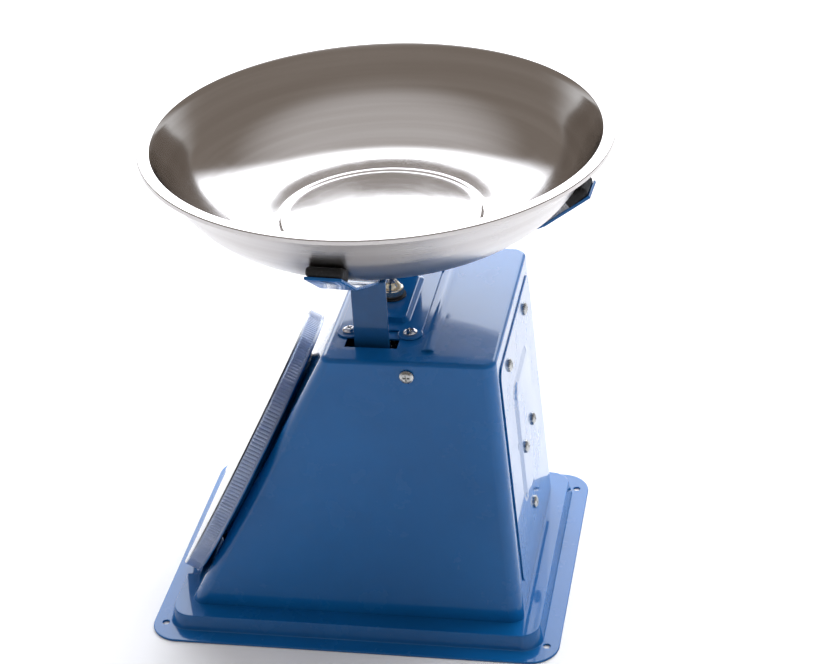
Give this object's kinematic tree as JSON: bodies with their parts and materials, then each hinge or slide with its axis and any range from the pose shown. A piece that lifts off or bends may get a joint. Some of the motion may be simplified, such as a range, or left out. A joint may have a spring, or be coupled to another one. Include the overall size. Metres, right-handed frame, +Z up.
{
  "type": "bench scale",
  "caption": "Spring dial table scale: tapered enamelled case on a flanged base, sloping dial, arms with rubber pads and a loose steel bowl.",
  "frame": {"origin": "centre of the base flange's underside, midway between its four holes", "axes": "+Z up, -Y towards the dial, +Y towards the back cover, +X to the right seen from the dial"},
  "size_m": [0.3, 0.3065, 0.327],
  "materials": {
    "blue_enamel": "gloss enamel",
    "stainless": "polished",
    "zinc_steel": "plated",
    "spring_steel": "oil tempered",
    "brass": "turned",
    "black_rubber": "matt",
    "black_plastic": "satin",
    "clear_plastic": "clear moulding",
    "dial_white": "printed",
    "pointer_red": "satin"
  },
  "bodies": {
    "stand": {"base_tray": "blue_enamel", "base_screws": "zinc_steel", "case_shell": "blue_enamel", "side_screws": "zinc_steel", "back_cover": "blue_enamel", "back_cover_screws": "zinc_steel", "top_plate": "blue_enamel", "top_plate_screws": "zinc_steel", "dial_pan": "blue_enamel", "dial_pan_screws": "zinc_steel", "dial_plate": "dial_white", "dial_cover": "clear_plastic", "dial_bridge": "zinc_steel", "front_bush": "brass", "chassis": "zinc_steel", "knob_washer": "black_plastic", "damper_cylinder": "zinc_steel", "damper_cap": "zinc_steel", "upper_guide_pin": "zinc_steel", "lower_guide_pin": "zinc_steel", "spring_left": "spring_steel", "spring_right": "spring_steel"},
    "carrier": {"carrier_strap": "blue_enamel", "guide_studs": "zinc_steel", "spring_beam": "zinc_steel", "lower_spring_hooks": "zinc_steel", "beam_screws": "zinc_steel", "rack_pin": "zinc_steel", "damper_rod": "zinc_steel", "damper_nut": "brass", "holder_screw": "zinc_steel", "holder_arm_x": "blue_enamel", "holder_arm_y": "blue_enamel", "pad_right": "black_rubber", "pad_back": "black_rubber", "pad_left": "black_rubber", "pad_front": "black_rubber"},
    "bowl": {"bowl": "stainless"},
    "rack": {"rack": "brass"},
    "pointer": {"pinion": "brass", "pointer_shaft": "zinc_steel", "pointer": "pointer_red", "pointer_cap": "black_plastic"},
    "upper_guide": {"upper_guide": "zinc_steel"},
    "lower_guide": {"lower_guide": "zinc_steel"},
    "zero_knob": {"zero_knob": "zinc_steel", "zero_screw": "zinc_steel"},
    "zero_bracket": {"zero_bracket": "zinc_steel", "upper_spring_hooks": "zinc_steel"}
  },
  "joints": [
    {"name": "pan_slide", "type": "slide", "parent": "stand", "child": "carrier", "axis": [0, 0, -1], "range_m": [0, 0.015], "stiffness_N_per_m": 12000, "springref_m": -0.0025, "deforming": ["spring_left", "spring_right"]},
    {"name": "bowl_lift", "type": "slide", "parent": "carrier", "child": "bowl", "axis": [0, 0, 1], "range_m": [0, 0.12]},
    {"name": "rack_slide", "type": "slide", "parent": "stand", "child": "rack", "axis": [0, -0.4706, -0.8824], "range_m": [0, 0.01701]},
    {"name": "pointer_turn", "type": "hinge", "parent": "stand", "child": "pointer", "pos_m": [0, -0.07282, 0.08771], "axis": [0, 0.8824, -0.4706], "range_deg": [0, 324.7]},
    {"name": "upper_guide_swing", "type": "hinge", "parent": "stand", "child": "upper_guide", "pos_m": [0, 0.084, 0.165], "axis": [1, 0, 0], "range_deg": [0, 13.17]},
    {"name": "lower_guide_swing", "type": "hinge", "parent": "stand", "child": "lower_guide", "pos_m": [0, 0.084, 0.058], "axis": [1, 0, 0], "range_deg": [0, 13.17]},
    {"name": "zero_turn", "type": "hinge", "parent": "stand", "child": "zero_knob", "pos_m": [0, 0.0218, 0.215], "axis": [0, 0, 1], "range_deg": [-720, 720]},
    {"name": "zero_lift", "type": "slide", "parent": "stand", "child": "zero_bracket", "axis": [0, 0, 1], "range_m": [-0.00161, 0.00161]}
  ],
  "couplings": [
    {"joint": "rack_slide", "follows": "pan_slide", "ratio": 1.1333},
    {"joint": "pointer_turn", "follows": "pan_slide", "rad_per_m": 377.78},
    {"joint": "upper_guide_swing", "follows": "pan_slide", "rad_per_m": 15.317},
    {"joint": "lower_guide_swing", "follows": "pan_slide", "rad_per_m": 15.317},
    {"joint": "zero_lift", "follows": "zero_turn", "m_per_rad": 0.00012732}
  ]
}
